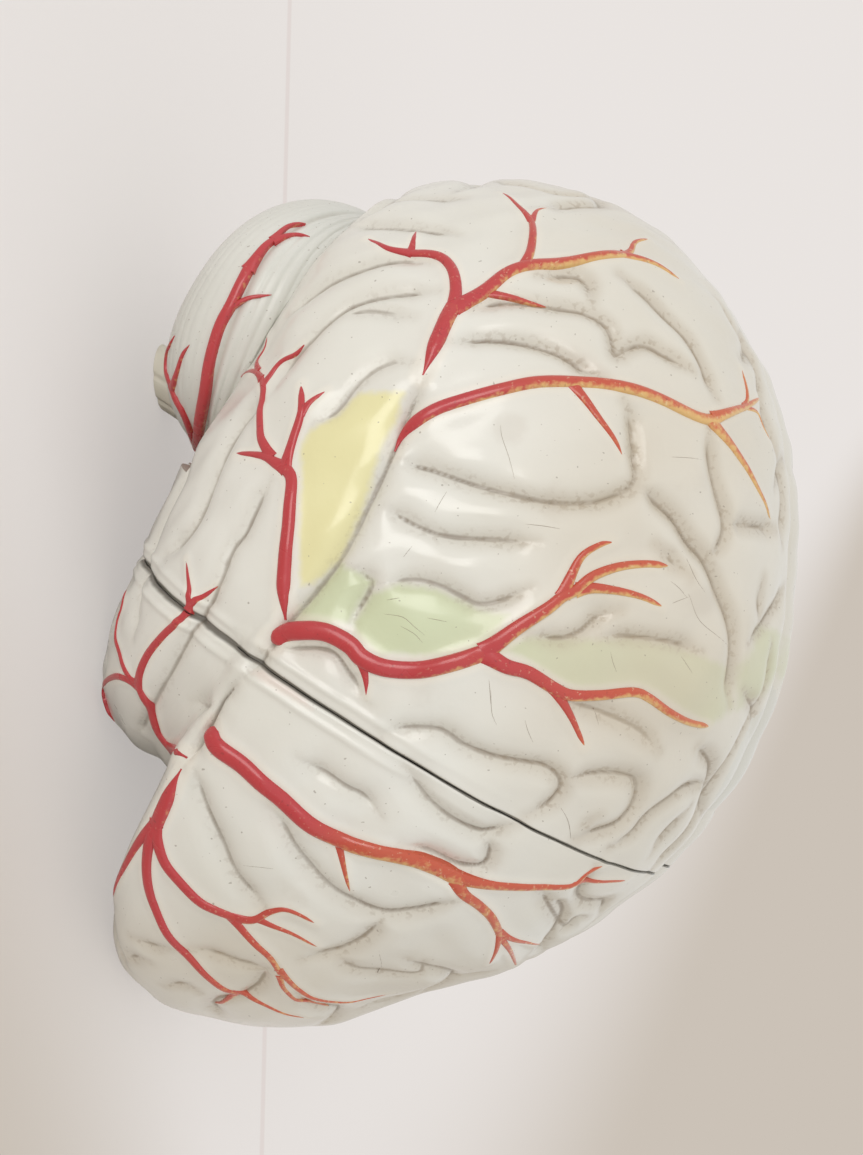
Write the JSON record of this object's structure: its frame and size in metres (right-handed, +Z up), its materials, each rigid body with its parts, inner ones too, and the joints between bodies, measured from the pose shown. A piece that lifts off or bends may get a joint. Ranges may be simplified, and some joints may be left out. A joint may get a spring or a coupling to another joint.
{
  "type": "anatomical brain model",
  "caption": "Life-size painted plastic model of a human brain with raised arteries, standing on its base, that pulls apart into hemispheres, lobes, cerebellum and brain stem.",
  "frame": {"origin": "middle of the resting face, under the centre of the whole model", "axes": "+X towards the brain's left side, +Y from the frontal pole to the occipital pole, +Z up to the crown"},
  "size_m": [0.141, 0.17, 0.1334],
  "materials": {
    "shell": "semi-gloss paint",
    "cerebellum_shell": "semi-gloss paint",
    "stem_shell": "semi-gloss paint",
    "artery_paint": "gloss paint",
    "peg_metal": "plain"
  },
  "bodies": {
    "right_rear": {"right_rear_hemisphere": "shell", "right_upper_peg": "peg_metal", "right_lower_peg": "peg_metal", "crown_median_peg": "peg_metal", "rear_median_peg": "peg_metal", "right_cerebellum_peg": "peg_metal", "right_stem_peg": "peg_metal"},
    "right_front": {"right_front_lobe": "shell"},
    "right_cerebellum_half": {"right_cerebellum": "cerebellum_shell"},
    "right_stem_half": {"right_brainstem": "stem_shell", "basilar_artery": "artery_paint"},
    "left_rear": {"left_rear_hemisphere": "shell", "left_upper_peg": "peg_metal", "left_lower_peg": "peg_metal", "left_cerebellum_peg": "peg_metal", "left_stem_peg": "peg_metal"},
    "left_front": {"left_front_lobe": "shell"},
    "left_cerebellum_half": {"left_cerebellum": "cerebellum_shell"},
    "left_stem_half": {"left_brainstem": "stem_shell"}
  },
  "joints": [
    {"name": "right_front_slide", "type": "slide", "parent": "right_rear", "child": "right_front", "axis": [0, -0.8387, -0.5446], "range_m": [0, 0.012]},
    {"name": "left_rear_slide", "type": "slide", "parent": "right_rear", "child": "left_rear", "axis": [1, 0, 0], "range_m": [0, 0.012]},
    {"name": "left_front_slide", "type": "slide", "parent": "left_rear", "child": "left_front", "axis": [0, -0.8387, -0.5446], "range_m": [0, 0.012]},
    {"name": "right_cerebellum_slide", "type": "slide", "parent": "right_rear", "child": "right_cerebellum_half", "axis": [0, 0.5446, -0.8387], "range_m": [0, 0.012]},
    {"name": "left_cerebellum_slide", "type": "slide", "parent": "left_rear", "child": "left_cerebellum_half", "axis": [0, 0.5446, -0.8387], "range_m": [0, 0.012]},
    {"name": "right_stem_slide", "type": "slide", "parent": "right_rear", "child": "right_stem_half", "axis": [0, 0.5446, -0.8387], "range_m": [0, 0.009]},
    {"name": "left_stem_slide", "type": "slide", "parent": "left_rear", "child": "left_stem_half", "axis": [0, 0.5446, -0.8387], "range_m": [0, 0.009]}
  ]
}
